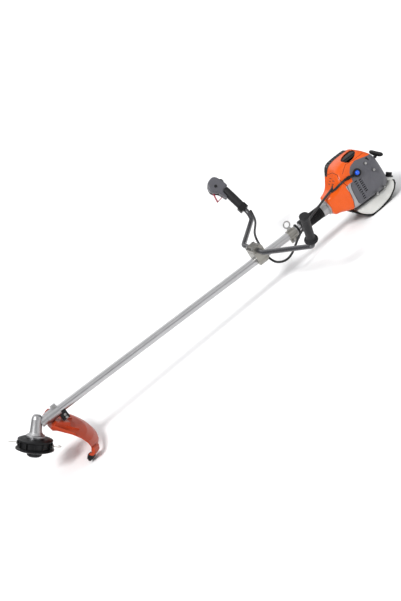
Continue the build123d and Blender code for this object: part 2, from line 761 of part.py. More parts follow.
def all_parts():
    """Every node of the machine by name, in the shaft frame."""
    skin = engine_skin()
    return {
        "shaft_tube": shaft_tube(), "shaft_bushes": shaft_bushes(), "drive_shaft": drive_shaft(),
        "clutch_drum": clutch_drum(), "pinion_gear": pinion_gear(), "gear_case": gear_case(),
        "case_bearings": case_bearings(), "crown_gear": crown_gear(), "output_spindle": output_spindle(),
        "trimmer_housing": trimmer_housing(), "line_spool": line_spool(), "spool_spring": spool_spring(),
        "bump_knob": bump_knob(), "line_eyelets": line_eyelets(), "cutting_line": cutting_line(),
        "guard_bracket": guard_bracket(), "guard": guard(), "guard_extension": guard_extension(),
        "cutter_holder": cutter_holder(), "line_cutter": line_cutter(),
        "handlebar": handlebar(), "clamp_lower": clamp_lower(), "clamp_body": clamp_body(),
        "clamp_cap": clamp_cap(), "clamp_bolts": clamp_bolts(), "left_grip": left_grip(),
        "right_grip": right_grip(), "grip_collar": grip_collar(),
        "throttle_shell_left": throttle_shell_left(),
        "throttle_shell_right": throttle_shell_right(), "trigger_pin": trigger_pin(),
        "throttle_trigger": throttle_trigger(), "trigger_lockout": trigger_lockout(),
        "stop_switch": stop_switch(),
        "harness_band": harness_band(), "harness_ring": harness_ring(), "m5_screws": m5_screws(),
        "cable_strap": cable_strap(), "av_sleeve": av_sleeve(), "clutch_housing": clutch_housing(),
        "clutch_shoes": clutch_shoes(), "crankshaft": crankshaft(), "flywheel": flywheel(),
        "crankcase": crankcase(skin), "cylinder": cylinder(), "piston": piston(),
        "spark_plug": spark_plug(),
        "muffler": muffler(), "muffler_cover": muffler_cover(), "carburettor": carburettor(),
        "front_cowl": front_cowl(skin), "starter_cover": starter_cover(skin),
        "recoil_pulley": recoil_pulley(),
        "starter_handle": starter_handle(), "starter_rope": starter_rope(), "fuel_tank": fuel_tank(),
        "fuel_cap": fuel_cap(), "tank_skid": tank_skid(), "primer_bulb": primer_bulb(),
        "throttle_cable": throttle_cable(),
    }


def rest_place(parts):
    """Place that sets the machine on the floor with the origin under the middle of its box."""
    level = Rot(0, degrees(atan(FLOOR_SLOPE)), 0)
    low = Vector(1e9, 1e9, 1e9)
    high = Vector(-1e9, -1e9, -1e9)
    for shape in parts.values():
        box = (level * shape).bounding_box()
        low = Vector(min(low.X, box.min.X), min(low.Y, box.min.Y), min(low.Z, box.min.Z))
        high = Vector(max(high.X, box.max.X), max(high.Y, box.max.Y), max(high.Z, box.max.Z))
    return Pos(-(low.X + high.X) / 2, -(low.Y + high.Y) / 2, -low.Z) * level


PARTS = all_parts()
REST = rest_place(PARTS)

os.makedirs("parts", exist_ok=True)
for node_name, node_shape in PARTS.items():
    export_step(REST * node_shape, f"parts/{node_name}.step")
print("rest place", REST)
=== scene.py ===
"""Looks of the brush cutter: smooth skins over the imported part, materials, floor, light and camera."""

import json
import math

import bmesh
import bpy
import numpy as np
from mathutils import Matrix, Vector


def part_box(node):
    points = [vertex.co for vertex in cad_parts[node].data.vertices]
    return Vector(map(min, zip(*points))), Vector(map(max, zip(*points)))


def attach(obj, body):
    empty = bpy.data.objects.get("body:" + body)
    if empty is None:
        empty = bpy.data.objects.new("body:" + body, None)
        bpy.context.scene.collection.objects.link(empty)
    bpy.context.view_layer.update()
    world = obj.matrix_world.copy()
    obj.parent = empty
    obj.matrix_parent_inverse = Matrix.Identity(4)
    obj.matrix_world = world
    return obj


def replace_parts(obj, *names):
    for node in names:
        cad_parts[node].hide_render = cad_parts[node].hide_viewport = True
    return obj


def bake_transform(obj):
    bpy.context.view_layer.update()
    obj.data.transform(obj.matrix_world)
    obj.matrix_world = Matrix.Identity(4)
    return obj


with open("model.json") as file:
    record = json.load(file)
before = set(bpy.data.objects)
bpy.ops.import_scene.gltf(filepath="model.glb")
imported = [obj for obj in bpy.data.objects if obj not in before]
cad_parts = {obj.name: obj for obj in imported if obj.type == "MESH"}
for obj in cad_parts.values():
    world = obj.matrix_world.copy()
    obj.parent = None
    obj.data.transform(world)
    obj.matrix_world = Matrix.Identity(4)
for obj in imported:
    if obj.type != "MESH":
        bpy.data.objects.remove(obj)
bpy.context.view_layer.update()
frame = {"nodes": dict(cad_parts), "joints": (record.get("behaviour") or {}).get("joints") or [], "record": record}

# ---- the shaft frame: s along the drive tube, u to the right, w up, in millimetres ----
JOINTS = {joint["name"]: joint for joint in frame["joints"]}
SHAFT_ORIGIN = Vector(JOINTS["drive_spin"]["pos_m"])
SHAFT_S = Vector(JOINTS["drive_spin"]["axis"])
SHAFT_U = Vector((0, 1, 0))
SHAFT_W = SHAFT_S.cross(SHAFT_U)


def turned(s, u, w):
    """Direction of the shaft frame in the row frame."""
    return SHAFT_S * s + SHAFT_U * u + SHAFT_W * w


def place(s, u, w):
    """Point of the shaft frame in the row frame, in metres."""
    return SHAFT_ORIGIN + turned(s, u, w) * 0.001


# ---- camera: its pose in the shaft frame, found by matching spots of the part with the photo ----
CAMERA_RIGHT = (0.7845, -0.3400, -0.5186)
CAMERA_UP = (0.5925, 0.1642, 0.7886)
CAMERA_SPOT = (-1175.2, -4630.4, 1657.1)
LENS = 89.85


def make_camera():
    """Camera in the photo's place, with plain colours in the picture."""
    camera = bpy.data.objects.new("camera", bpy.data.cameras.new("camera"))
    bpy.context.scene.collection.objects.link(camera)
    right = turned(*CAMERA_RIGHT).normalized()
    up = turned(*CAMERA_UP)
    back = right.cross(up).normalized()
    up = back.cross(right)
    turn = Matrix((right, up, back)).transposed().to_4x4()
    camera.matrix_world = Matrix.Translation(place(*CAMERA_SPOT)) @ turn
    camera.data.lens = LENS
    camera.data.sensor_width = 36.0
    camera.data.clip_start = 0.05
    camera.data.clip_end = 100.0
    bpy.context.scene.camera = camera
    bpy.context.scene.view_settings.view_transform = "Standard"


make_camera()


# ---- material building ----
def node_tree(name):
    """New material with its nodes, links and shader."""
    material = bpy.data.materials.new(name)
    material.use_nodes = True
    nodes = material.node_tree.nodes
    return material, nodes, material.node_tree.links, nodes["Principled BSDF"]


def texture_noise(nodes, links, scale, detail, stretch=(1, 1, 1)):
    """Noise on object coordinates."""
    coords = nodes.new("ShaderNodeTexCoord")
    mapping = nodes.new("ShaderNodeMapping")
    mapping.inputs["Scale"].default_value = stretch
    noise = nodes.new("ShaderNodeTexNoise")
    noise.inputs["Scale"].default_value = scale
    noise.inputs["Detail"].default_value = detail
    links.new(coords.outputs["Object"], mapping.inputs["Vector"])
    links.new(mapping.outputs["Vector"], noise.inputs["Vector"])
    return noise


def ranged(nodes, links, source, low, high):
    """Value from low to high as the source goes across its middle."""
    spread = nodes.new("ShaderNodeMapRange")
    spread.inputs["From Min"].default_value = 0.3
    spread.inputs["From Max"].default_value = 0.7
    spread.inputs["To Min"].default_value = low
    spread.inputs["To Max"].default_value = high
    links.new(source, spread.inputs["Value"])
    return spread.outputs["Result"]


def tinted(nodes, links, source, colour, other, amount):
    """Base colour that drifts a little to another colour."""
    mix = nodes.new("ShaderNodeMix")
    mix.data_type = "RGBA"
    mix.inputs["A"].default_value = (*colour, 1)
    mix.inputs["B"].default_value = (*other, 1)
    links.new(ranged(nodes, links, source, 0, amount), mix.inputs["Factor"])
    return mix.outputs["Result"]


def surface(name, colour, rough, metal=0.0, grain=900.0, bump=0.12, drift=0.25, wear=None, stretch=(1, 1, 1),
            coat=0.0, edge=0.0004, gloss=0.5):
    """Moulded, cast or painted surface with fine grain, uneven gloss and a slightly uneven colour."""
    material, nodes, links, shader = node_tree(name)
    broad = texture_noise(nodes, links, 22, 4)
    fine = texture_noise(nodes, links, grain, 3, stretch)
    other = wear or tuple(min(1.0, c * 0.72 + 0.01) for c in colour)
    links.new(tinted(nodes, links, broad.outputs["Fac"], colour, other, drift), shader.inputs["Base Color"])
    links.new(ranged(nodes, links, fine.outputs["Fac"], rough * 0.88, min(1, rough * 1.14)),
              shader.inputs["Roughness"])
    shader.inputs["Metallic"].default_value = metal
    shader.inputs["Coat Weight"].default_value = coat
    shader.inputs["Coat Roughness"].default_value = 0.12
    shader.inputs["Specular IOR Level"].default_value = gloss
    relief = nodes.new("ShaderNodeBump")
    relief.inputs["Strength"].default_value = bump
    relief.inputs["Distance"].default_value = 0.0003
    links.new(fine.outputs["Fac"], relief.inputs["Height"])
    if edge:
        soft = nodes.new("ShaderNodeBevel")
        soft.samples = 4
        soft.inputs["Radius"].default_value = edge
        links.new(soft.outputs["Normal"], relief.inputs["Normal"])
    links.new(relief.outputs["Normal"], shader.inputs["Normal"])
    return material


def drawn_tube():
    """Satin aluminium with faint lines along the tube."""
    return surface("tube_alloy", (0.50, 0.50, 0.505), 0.3, 1.0, grain=260, bump=0.1, drift=0.4,
                   wear=(0.38, 0.38, 0.39), stretch=(0.05, 1, 1))


def grip_rubber():
    """Matt, grained grip rubber."""
    return surface("soft_black", (0.014, 0.014, 0.015), 0.5, grain=1500, bump=0.35, drift=0.4,
                   wear=(0.030, 0.030, 0.032), gloss=0.22)


def translucent_white():
    """Milky blow-moulded tank."""
    material = surface("tank_white", (0.74, 0.74, 0.71), 0.4, grain=500, bump=0.1, drift=0.4,
                       wear=(0.52, 0.52, 0.49))
    shader = material.node_tree.nodes["Principled BSDF"]
    shader.inputs["Subsurface Weight"].default_value = 0.35
    shader.inputs["Subsurface Radius"].default_value = (0.01, 0.01, 0.009)
    shader.inputs["Subsurface Scale"].default_value = 0.4
    return material


def clear_line():
    """Clear nylon line."""
    material = surface("line_nylon", (0.46, 0.45, 0.38), 0.28, grain=700, bump=0.05, drift=0.3)
    shader = material.node_tree.nodes["Principled BSDF"]
    shader.inputs["Transmission Weight"].default_value = 0.15
    return material


def blue_bulb():
    """Soft, see-through blue bulb."""
    material = surface("bulb_blue", (0.006, 0.11, 0.78), 0.2, grain=300, bump=0.03, drift=0.2, coat=0.5)
    material.node_tree.nodes["Principled BSDF"].inputs["Subsurface Weight"].default_value = 0.15
    return material


MATERIALS = {
    "tube_alloy": drawn_tube(),
    "bush_nylon": surface("bush_nylon", (0.70, 0.68, 0.62), 0.5),
    "machined_steel": surface("machined_steel", (0.50, 0.50, 0.52), 0.28, 1.0, grain=600, bump=0.08),
    "zinc_steel": surface("zinc_steel", (0.36, 0.36, 0.355), 0.3, 1.0, grain=500, bump=0.06,
                          wear=(0.26, 0.255, 0.23), edge=0.0005),
    "cast_alloy": surface("cast_alloy", (0.46, 0.46, 0.465), 0.42, 1.0, grain=700, bump=0.45, drift=0.6,
                          wear=(0.30, 0.30, 0.305), edge=0.0009),
    "clamp_alloy": surface("clamp_alloy", (0.34, 0.33, 0.30), 0.33, 1.0, grain=800, bump=0.5, drift=0.6,
                           wear=(0.20, 0.19, 0.175), edge=0.0016),
    "clutch_iron": surface("clutch_iron", (0.20, 0.20, 0.21), 0.6, 1.0, bump=0.3),
    "muffler_steel": surface("muffler_steel", (0.30, 0.28, 0.25), 0.5, 1.0, grain=300, bump=0.2, drift=0.6,
                             wear=(0.22, 0.15, 0.10)),
    "black_nylon": surface("black_nylon", (0.007, 0.007, 0.0075), 0.4, grain=1300, bump=0.22, drift=0.5,
                           wear=(0.014, 0.014, 0.015), edge=0.0008, gloss=0.22),
    "guard_red": surface("guard_red", (0.44, 0.048, 0.012), 0.38, grain=1000, bump=0.16, drift=0.5,
                         wear=(0.30, 0.032, 0.010), gloss=0.35, edge=0.0010),
    "cowl_orange": surface("cowl_orange", (0.76, 0.098, 0.002), 0.3, grain=500, bump=0.05, drift=0.35,
                           wear=(0.60, 0.070, 0.002), coat=0.15, edge=0.0008, gloss=0.3),
    "cover_grey": surface("cover_grey", (0.092, 0.092, 0.106), 0.32, grain=1400, bump=0.2, drift=0.4,
                          wear=(0.065, 0.065, 0.074), edge=0.0008),
    "soft_black": grip_rubber(),
    "bar_paint": surface("bar_paint", (0.055, 0.055, 0.061), 0.27, 0.4, grain=900, bump=0.12, drift=0.35,
                         coat=0.15),
    "tank_white": translucent_white(),
    "bulb_blue": blue_bulb(),
    "trigger_red": surface("trigger_red", (0.33, 0.022, 0.050), 0.35, grain=900, bump=0.08, edge=0.0006),
    "control_black": surface("control_black", (0.009, 0.009, 0.0095), 0.4, grain=1000, bump=0.15, edge=0.0006,
                             gloss=0.22),
    "line_nylon": clear_line(),
    "cable_black": surface("cable_black", (0.014, 0.014, 0.015), 0.42, grain=1000, bump=0.2, gloss=0.4),
    "rope_cord": surface("rope_cord", (0.50, 0.50, 0.45), 0.8, grain=1600, bump=0.6),
}


def dress_cad_nodes():
    """Every carried-over node takes the material of its slot in the record."""
    slots = {part["node"]: part["material_slot"] for part in frame["record"]["subparts"]}
    for name, obj in frame["nodes"].items():
        obj.data.materials.clear()
        obj.data.materials.append(MATERIALS[slots[name]])


# ---- mesh building ----
SHARP_EDGE = 38.0
CORNER_CUT = 0.22
SEARCH_STEPS = 22
REACH = 260.0


def settle(obj, slot, body):
    """Shading, material and body of a finished mesh; the body is left out where none is passed."""
    obj.data.shade_smooth()
    obj.data.set_sharp_from_angle(angle=math.radians(SHARP_EDGE))
    obj.data.materials.clear()
    obj.data.materials.append(MATERIALS[slot])
    if body:
        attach(obj, body)
    return obj


def tool(name, points, faces):
    """Loose mesh object that cuts others and isn't kept."""
    mesh = bpy.data.meshes.new(name)
    mesh.from_pydata([tuple(p) for p in points], [], faces)
    obj = bpy.data.objects.new(name, mesh)
    bpy.context.scene.collection.objects.link(obj)
    return obj


def carve(obj, cutter, how="DIFFERENCE"):
    """Boolean of obj with a cutter, applied; the cutter is removed."""
    change = obj.modifiers.new("cut", "BOOLEAN")
    change.operation = how
    change.object = cutter
    change.solver = "EXACT"
    bpy.context.view_layer.update()
    whole = obj.evaluated_get(bpy.context.evaluated_depsgraph_get())
    mesh = bpy.data.meshes.new_from_object(whole)
    obj.modifiers.clear()
    obj.data = mesh
    bpy.data.objects.remove(cutter)
    return obj


def copy_of(obj, name):
    """Second object with its own mesh."""
    twin = obj.copy()
    twin.data = obj.data.copy()
    twin.name = name
    bpy.context.scene.collection.objects.link(twin)
    return twin


def rounded_outline(points, rounds):
    """Outline with its corners cut again and again, so that it comes out smooth."""
    stay = 1 - CORNER_CUT
    for _ in range(rounds):
        smooth = []
        for here, after in zip(points, points[1:] + points[:1]):
            smooth.append((stay * here[0] + CORNER_CUT * after[0], stay * here[1] + CORNER_CUT * after[1]))
            smooth.append((CORNER_CUT * here[0] + stay * after[0], CORNER_CUT * here[1] + stay * after[1]))
        points = smooth
    return points


def outline_distance(outline, x, y):
    """Signed distance of many points from an outline, negative inside."""
    best = np.full(x.shape, 1e9)
    inside = np.zeros(x.shape, bool)
    for (ax, ay), (bx, by) in zip(outline, outline[1:] + outline[:1]):
        ex = bx - ax
        ey = by - ay
        t = np.clip(((x - ax) * ex + (y - ay) * ey) / (ex * ex + ey * ey), 0, 1)
        best = np.minimum(best, np.hypot(x - ax - t * ex, y - ay - t * ey))
        if ey != 0:
            across = (ay > y) != (by > y)
            inside ^= across & (x < ax + (y - ay) / ey * ex)
    return np.where(inside, -best, best)


def rounded_meet(distances, radius):
    """Field of the space where every distance is negative, with its edges rounded."""
    total = sum(np.maximum(d + radius, 0) ** 2 for d in distances)
    return np.sqrt(total) - radius


def star_points(centre, field, rings, turns, reach):
    """Points where rays from a centre leave a field's negative space, ring by ring from front to rear."""
    a = np.linspace(0, math.pi, rings + 1)[:, None]
    b = np.linspace(0, 2 * math.pi, turns, endpoint=False)[None, :]
    ds = -np.cos(a) * np.ones_like(b)
    du = np.sin(a) * np.cos(b)
    dw = np.sin(a) * np.sin(b)
    low = np.zeros(ds.shape)
    high = np.full(ds.shape, reach)
    for _ in range(SEARCH_STEPS):
        middle = (low + high) / 2
        out = field(centre[0] + ds * middle, centre[1] + du * middle, centre[2] + dw * middle) > 0
        high = np.where(out, middle, high)
        low = np.where(out, low, middle)
    return np.stack([centre[0] + ds * low, centre[1] + du * low, centre[2] + dw * low], -1)


def star_solid(name, centre, field, rings=120, turns=168, reach=REACH, mapper=place):
    """Closed mesh of a field's negative space."""
    grid = star_points(centre, field, rings, turns, reach)
    points = [mapper(*grid[0, 0])]
    for row in grid[1:-1]:
        points.extend(mapper(*p) for p in row)
    points.append(mapper(*grid[-1, 0]))
    faces = []
    last = len(points) - 1
    for turn in range(turns):
        after = (turn + 1) % turns
        faces.append((0, 1 + turn, 1 + after))
        faces.append((last, last - turns + after, last - turns + turn))
        for ring in range(rings - 2):
            low = 1 + ring * turns
            faces.append((low + turn, low + turns + turn, low + turns + after, low + after))
    return tool(name, points, [face[::-1] for face in faces])


def prism(name, outline, low, high, mapper=place):
    """Closed prism of a (first, third) outline between two second coordinates."""
    count = len(outline)
    points = [mapper(s, low, w) for s, w in outline] + [mapper(s, high, w) for s, w in outline]
    faces = [tuple(range(count)), tuple(range(2 * count - 1, count - 1, -1))]
    for n in range(count):
        after = (n + 1) % count
        faces.append((n, count + n, count + after, after))
    obj = tool(name, points, faces)
    fix_normals(obj)
    return obj


def fix_normals(obj):
    """Makes the faces of a closed mesh look outwards."""
    work = bmesh.new()
    work.from_mesh(obj.data)
    bmesh.ops.recalc_face_normals(work, faces=work.faces)
    work.to_mesh(obj.data)
    work.free()


def slab(name, low, high, mapper=place):
    """Closed box between two corners."""
    outline = [(low[0], low[2]), (high[0], low[2]), (high[0], high[2]), (low[0], high[2])]
    return prism(name, outline, low[1], high[1], mapper)


def joined(objects):
    """One object out of several."""
    with bpy.context.temp_override(active_object=objects[0], selected_editable_objects=objects):
        bpy.ops.object.join()
    return objects[0]


def circle(middle, side, other, radius, sides):
    """Points round a middle, in the plane of two directions."""
    points = []
    for n in range(sides):
        angle = 2 * math.pi * n / sides
        points.append(middle + (side * math.cos(angle) + other * math.sin(angle)) * radius)
    return points


def tube_faces(rings, sides):
    """Faces of a closed tube of rings, its two end caps first."""
    faces = [tuple(range(sides - 1, -1, -1)), tuple(range((rings - 1) * sides, rings * sides))]
    for ring in range(rings - 1):
        low = ring * sides
        for n in range(sides):
            after = (n + 1) % sides
            faces.append((low + n, low + after, low + sides + after, low + sides + n))
    return faces


def bar_tool(name, start, end, radius, sides=48):
    """Closed round bar between two points of the row frame."""
    axis = (end - start).normalized()
    side = axis.orthogonal().normalized()
    other = axis.cross(side)
    points = circle(start, side, other, radius, sides) + circle(end, side, other, radius, sides)
    return tool(name, points, tube_faces(2, sides))


# ---- engine covers: outlines in the shaft frame, (s, w) from the side, (u, w) across, (s, u) from above ----
ENGINE_MIDDLE = (398, -14, 30)
SHELL_WALL = 2.6
EDGE_ROUND = 15.0
BLEND = 4.0
ROPE_AXIS = Vector(JOINTS["starter_pull"]["axis"])
ROPE_EXIT = place(503, -40, 50)
ROPE_RADIUS = 0.00175
ENGINE_SIDE = [(280, -33), (280, 33), (300, 38), (318, 48), (336, 74), (352, 99), (370, 113), (400, 121),
               (455, 121), (474, 105), (492, 81), (506, 52), (509, 14), (492, -32), (474, -48), (350, -48),
               (313, -36)]
ENGINE_CROSS = [(-93, -52), (-93, 52), (-58, 108), (-30, 124), (20, 124), (60, 98), (60, -52)]
ENGINE_PLAN = [(278, -31), (306, -42), (340, -84), (372, -94), (470, -93), (492, -82), (507, -50), (510, -20),
               (510, 40), (495, 62), (468, 66), (380, 66), (354, 46), (338, 38), (306, 33), (278, 31)]
COWL_ZONE = [(250, -140), (338, -140), (340, -42), (348, -10), (352, 20), (350, 46), (380, 48), (388, 76),
             (405, 90), (430, 96), (486, 83), (530, 72), (530, 200), (250, 200)]
RIM_ZONE = [(338, -140), (340, -42), (348, -10), (352, 20), (350, 46), (374, 47), (364, 30), (361, 0),
            (362, -28), (372, -47), (372, -140)]
FAR_CROSS = [(-93, -52), (-93, 52), (-58, 108), (-30, 124), (44, 124), (64, 98), (64, -52)]
FACET = [(440, 58), (456, 58), (486, 28), (492, -10), (474, -36), (424, -38), (420, 0)]
ROOF_WINDOW = [(394, -37), (403, -61), (439, -59), (456, -45), (461, -8), (420, -15)]
SIDE_CURVE = rounded_outline(ENGINE_SIDE, 2)
CROSS_CURVE = rounded_outline(ENGINE_CROSS, 3)
PLAN_CURVE = rounded_outline(ENGINE_PLAN, 2)
FAR_CURVE = rounded_outline(FAR_CROSS, 3)
FACET_CURVE = rounded_outline(FACET, 2)


def hull_field(inset, cross_curve=CROSS_CURVE):
    """Field of the engine covers' outer form, drawn in by an inset."""
    def field(s, u, w):
        side = outline_distance(SIDE_CURVE, s, w)
        cross = outline_distance(cross_curve, u, w)
        plan = outline_distance(PLAN_CURVE, s, u)
        return rounded_meet([side, cross, plan], EDGE_ROUND) + inset
    return field


def cover_field(inset):
    """Hull field with the raised facet of the rear cover's near side blended in."""
    plain = hull_field(0.0)

    def field(s, u, w):
        slope = outline_distance(FACET_CURVE, s, w) + 1.3 * (-u - 82)
        facet = rounded_meet([slope, -u - 93, u + 79], 3.0)
        body = plain(s, u, w)
        near = np.minimum(body, facet)
        apart = np.abs(body - facet)
        return near - 0.5 * BLEND * np.exp(-apart / BLEND) + inset
    return field


def hull(name, inset, cross_curve=CROSS_CURVE, rings=110, turns=150):
    """Closed mesh of the engine covers' outer form, drawn in by an inset."""
    return star_solid(name, ENGINE_MIDDLE, hull_field(inset, cross_curve), rings, turns)


def upright(name, outline, low, high):
    """Closed prism along w of an (s, u) outline."""
    return prism(name, outline, low, high, lambda s, w, u: place(s, u, w))


def zone_tool(name, zone):
    """Prism of an (s, w) outline right across the engine."""
    return prism(name, zone, -150, 150)


def round_hole(s, u, w, radius, depth):
    """Cutter along u at a spot of the near side."""
    return bar_tool("hole", place(s, u - depth, w), place(s, u + depth, w), radius / 1000)


def cowl_openings():
    """Cutters of the cowl: collar hole, roof window, far-side louvre frame, exhaust and cable gate."""
    return [
        bar_tool("nose", place(270, 0, 0), place(290, 0, 0), 0.029),
        upright("window", rounded_outline(ROOF_WINDOW, 1), 92, 140),
        slab("far_side", (342, 8, 52), (450, 90, 140)),
        bar_tool("port", place(382, 34, 50), place(382, 66, 50), 0.0086),
        bar_tool("gate", place(296, -33, 44.6), place(334, -37.5, 59.5), 0.0062),
    ]


def cover_openings():
    """Cutters of the rear cover: two columns of air slots, primer, rope, exhaust and screw holes."""
    cutters = []
    for number in range(7):
        w = 36 - number * 7.4
        cutters.append(slab("slot", (400, -110, w), (411, -84, w + 3.6)))
    for number in range(10):
        w = 40 - number * 8.4
        cutters.append(slab("slot", (383, -110, w), (394, -84, w + 3.6)))
    cutters.append(round_hole(407, -92, 66, 9.0, 12))
    cutters.append(round_hole(450, -88, 72, 3.2, 14))
    cutters.append(bar_tool("port", place(382, 34, 50), place(382, 66, 50), 0.0086))
    cutters.append(bar_tool("rope_gate", ROPE_EXIT - ROPE_AXIS * 0.03, ROPE_EXIT + ROPE_AXIS * 0.02, 0.0065))
    return cutters


def engine_covers():
    """Cowl, rear cover and cast rim, cut from one smooth shell."""
    shell = carve(hull("shell", 0.0), hull("hollow", SHELL_WALL, CROSS_CURVE, 64, 90))
    cowl = carve(copy_of(shell, "cowl_skin"), zone_tool("zone", COWL_ZONE), "INTERSECT")
    rim = carve(shell, zone_tool("zone", RIM_ZONE), "INTERSECT")
    rim.name = "rim_skin"
    cover = star_solid("cover_skin", ENGINE_MIDDLE, cover_field(0.0))
    carve(cover, star_solid("hollow", ENGINE_MIDDLE, cover_field(SHELL_WALL), 64, 90))
    carve(cover, zone_tool("zone", COWL_ZONE))
    carve(cover, zone_tool("zone", RIM_ZONE))
    for cutter in cowl_openings():
        carve(cowl, cutter)
    for cutter in cover_openings():
        carve(cover, cutter)
    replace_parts(settle(cowl, "cowl_orange", "root"), "front_cowl")
    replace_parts(settle(cover, "cover_grey", "root"), "starter_cover")
    settle(rim, "cast_alloy", "root")
    return rim


def crankcase_inside():
    """The part of the casting behind the rim: crank box and bulkhead."""
    web = hull("case_web", 3.2, CROSS_CURVE, 60, 84)
    carve(web, slab("zone", (353, -120, -47), (359, 120, 46)), "INTERSECT")
    carve(web, slab("carb_gap", (350, -89, 14), (384, -35, 60)))
    box = slab("crank_box", (338, -32, -36), (392, 32, 33))
    carve(box, bar_tool("bore", place(342, 0, 0), place(386, 0, 0), 0.028))
    carve(box, bar_tool("seat", place(330, 0, 0), place(400, 0, 0), 0.0101))
    carve(box, slab("rod_gap", (350, -19, 20), (378, 19, 60)))
    carve(web, bar_tool("bore", place(342, 0, 0), place(386, 0, 0), 0.028))
    return [web, box]


def far_panel():
    """Dark louvred panel over the muffler side of the roof."""
    panel = carve(hull("far_panel", 0.4, FAR_CURVE, 80, 110), hull("hollow", 3.4, FAR_CURVE, 50, 70))
    carve(panel, slab("zone", (343, 9, 53), (449, 90, 140)), "INTERSECT")
    for number in range(8):
        s = 352 + number * 11
        carve(panel, slab("gap", (s, 16, 100), (s + 3.5, 52, 140)))
    for number in range(6):
        w = 62 + number * 7
        carve(panel, slab("gap", (364, 40, w), (440, 90, w + 2.6)))
    settle(panel, "black_nylon", "root")


def roof_grille():
    """Dark ribs behind the roof window."""
    zone = [(392, -34), (402, -62), (440, -60), (458, -46), (462, -6), (418, -14)]
    grille = hull("roof_grille", 4.6, CROSS_CURVE, 70, 96)
    carve(grille, upright("zone", zone, 84, 140), "INTERSECT")
    for number in range(6):
        w = 94 + number * 5
        carve(grille, slab("gap", (388, -68, w), (464, -4, w + 1.6)))
    settle(grille, "black_nylon", "root")


def on_hull(s, u, w, lift=0.0):
    """Point where the ray from the covers' middle through a spot leaves the hull, in the shaft frame."""
    field = hull_field(-lift)
    centre = np.array(ENGINE_MIDDLE, float)
    way = np.array([s, u, w]) - centre
    way /= np.linalg.norm(way)
    low = 0.0
    high = REACH
    for _ in range(SEARCH_STEPS + 2):
        middle = (low + high) / 2
        if field(*[np.array(x) for x in centre + way * middle]) > 0:
            high = middle
        else:
            low = middle
    return centre + way * low


def surface_line(name, spots, radius, slot, lift=0.0, steps=14, sides=12):
    """Round bead that follows the covers' surface through a few spots."""
    lean = SHAFT_W + SHAFT_S * 0.37
    route = [np.array(spot, float) for spot in spots]
    line = []
    for first, last in zip(route, route[1:]):
        for n in range(steps):
            line.append(on_hull(*(first + (last - first) * n / steps), lift))
    line.append(on_hull(*route[-1], lift))
    line = [Vector(place(*p)) for p in line]
    points = []
    for number, middle in enumerate(line):
        ahead = line[min(number + 1, len(line) - 1)] - line[max(number - 1, 0)]
        side = ahead.cross(lean).normalized()
        other = ahead.cross(side).normalized()
        points += circle(middle, side, other, radius * 0.001, sides)
    bead = tool(name, points, tube_faces(len(line), sides))
    fix_normals(bead)
    return settle(bead, slot, "root")


def cowl_details():
    """Panel joints, air slots and the black throttle duct on the cowl."""
    surface_line("cowl_joint", [(345, 6, 90), (352, -34, 98), (353, -62, 91), (347, -75, 76), (352, -82, 58),
                                (357, -86, 44)], 0.9, "black_nylon", -0.3)
    surface_line("rim_joint", [(356, -84, 44), (352, -86, 20), (349, -86, -8), (342, -78, -36)], 0.9,
                 "black_nylon", -0.2)
    surface_line("cover_joint", [(372, -86, 46), (364, -87, 30), (361, -88, 0), (362, -84, -28)], 0.9,
                 "black_nylon", -0.2)
    surface_line("far_joint", [(346, 8, 90), (372, 8, 112), (402, 8, 117), (448, 8, 117)], 0.8,
                 "black_nylon", -0.2)
    surface_line("roof_joint", [(368, -70, 84), (398, -60, 103), (432, -64, 102), (470, -60, 97)], 0.7,
                 "black_nylon", -0.3)
    for row in range(3):
        for column in range(2):
            low = np.array([330 + row * 5, -6 - column * 22 - row * 4, 64 + row * 9 - column * 9])
            surface_line("air_slot", [low, low + np.array([1.5, -11, -1.5])], 1.5, "black_nylon", -0.6, 5)
    surface_line("throttle_duct", [(316, -38, 46), (334, -56, 52), (352, -70, 60), (366, -78, 65)], 4.1,
                 "cable_black", 1.2)
    surface_line("duct_sleeve", [(362, -76, 64), (374, -82, 66), (386, -84, 65), (397, -86, 63)], 4.6,
                 "control_black", 1.4, 8)
    surface_line("duct_collar", [(371, -81, 66), (379, -84, 66)], 6.2, "control_black", 1.4, 4)


def cover_extras():
    """Primer seat, stud and top vent of the rear cover."""
    ring = bar_tool("primer_ring", place(407, -95.2, 66), place(407, -88.8, 66), 0.0145)
    carve(ring, bar_tool("hole", place(407, -99, 66), place(407, -86, 66), 0.0091))
    settle(ring, "black_nylon", "root")
    stud = bar_tool("cover_stud", place(452, -87, 72), place(452, -80, 72), 0.0042)
    settle(stud, "zinc_steel", "root")
    vent = hull("cover_vent", -0.9, CROSS_CURVE, 80, 110)
    carve(vent, prism("zone", [(462, 84), (470, 70), (494, 62), (490, 84)], -92, -50), "INTERSECT")
    carve(vent, hull("hollow", 2.0, CROSS_CURVE, 50, 70))
    for number in range(5):
        carve(vent, slab("gap", (464 + number * 6, -96, 60), (466.4 + number * 6, -40, 100)))
    settle(vent, "black_nylon", "root")


